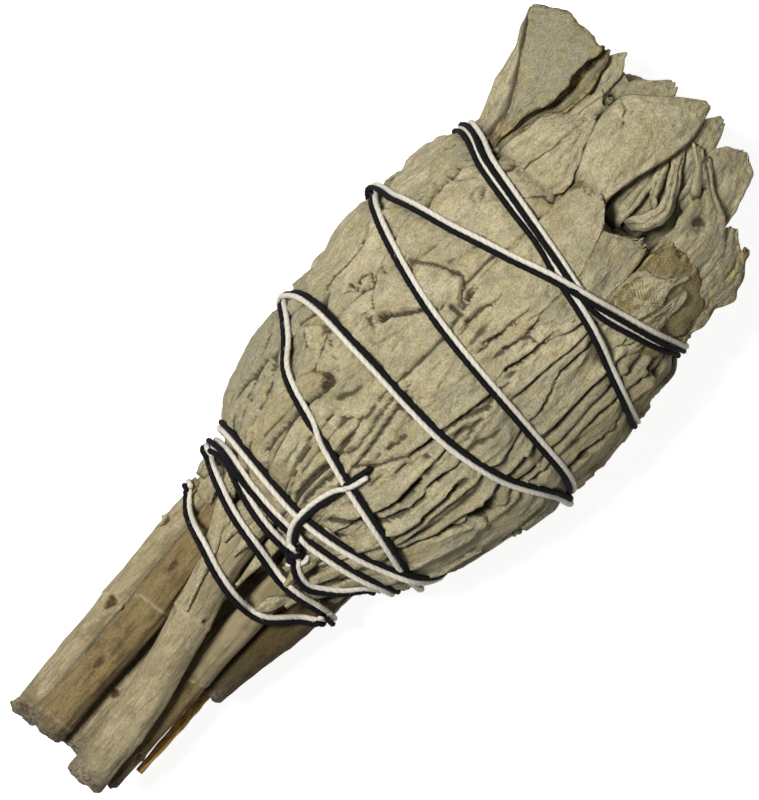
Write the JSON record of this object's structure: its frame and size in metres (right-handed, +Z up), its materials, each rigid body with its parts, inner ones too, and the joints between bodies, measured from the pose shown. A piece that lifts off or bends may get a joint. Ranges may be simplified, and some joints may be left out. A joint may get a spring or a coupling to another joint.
{
  "type": "white sage smudge stick",
  "caption": "Short thick bundle of dried leafy herb stems lying on its side, bound round with a white and a black thread, cut stems at one end and a leafy crown at the other.",
  "frame": {"origin": "on the surface it lies on, at the flat spot of the belly that it rests on", "axes": "+X along the bundle from the cut stems to the leafy crown, +Y its left seen from above, +Z up"},
  "size_m": [0.115, 0.049, 0.041],
  "materials": {
    "leaf": "matte, felted",
    "bark": "matte",
    "brown_bark": "matte",
    "dry_stalk": "matte",
    "white_cotton": "matte",
    "black_cotton": "matte"
  },
  "bodies": {
    "root": {"leaf_bunch": "leaf", "stem_main": "bark", "stem_ringed": "brown_bark", "stem_upper": "bark", "stem_lower": "bark", "stem_broken": "brown_bark", "stem_behind": "bark", "stem_side": "brown_bark", "stem_under": "bark", "dry_leaf_stalk": "dry_stalk", "thread_white": "white_cotton", "thread_black": "black_cotton"}
  },
  "joints": []
}
